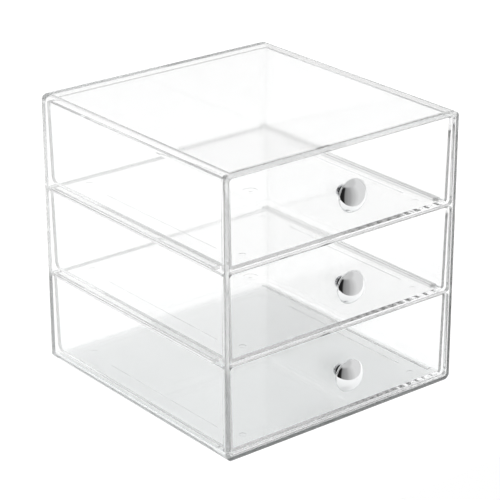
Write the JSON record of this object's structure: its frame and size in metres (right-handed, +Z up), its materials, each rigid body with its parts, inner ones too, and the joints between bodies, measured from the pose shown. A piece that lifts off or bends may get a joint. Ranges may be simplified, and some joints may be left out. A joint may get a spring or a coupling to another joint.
{
  "type": "clear drawer organizer",
  "caption": "Clear plastic countertop organizer: an open-fronted shell whose flush drawers slide out on side ledges and have domed chrome knobs.",
  "frame": {"origin": "centre of the shell's underside, on the surface that the organizer stands on", "axes": "+Z up, the drawers open towards -Y, +X to the right as seen from the front"},
  "size_m": [0.165, 0.1796, 0.165],
  "materials": {
    "clear_shell": "clear, polished",
    "clear_drawer": "clear, polished",
    "knob_chrome": "polished",
    "screw_steel": "bright plated"
  },
  "bodies": {
    "case": {"shell": "clear_shell"},
    "top_drawer": {"drawer_top": "clear_drawer", "knob_top": "knob_chrome", "knob_screw_top": "screw_steel"},
    "middle_drawer": {"drawer_middle": "clear_drawer", "knob_middle": "knob_chrome", "knob_screw_middle": "screw_steel"},
    "bottom_drawer": {"drawer_bottom": "clear_drawer", "knob_bottom": "knob_chrome", "knob_screw_bottom": "screw_steel"}
  },
  "joints": [
    {"name": "top_drawer_slide", "type": "slide", "parent": "case", "child": "top_drawer", "axis": [0, -1, 0], "range_m": [0, 0.14]},
    {"name": "middle_drawer_slide", "type": "slide", "parent": "case", "child": "middle_drawer", "axis": [0, -1, 0], "range_m": [0, 0.14]},
    {"name": "bottom_drawer_slide", "type": "slide", "parent": "case", "child": "bottom_drawer", "axis": [0, -1, 0], "range_m": [0, 0.14]}
  ]
}
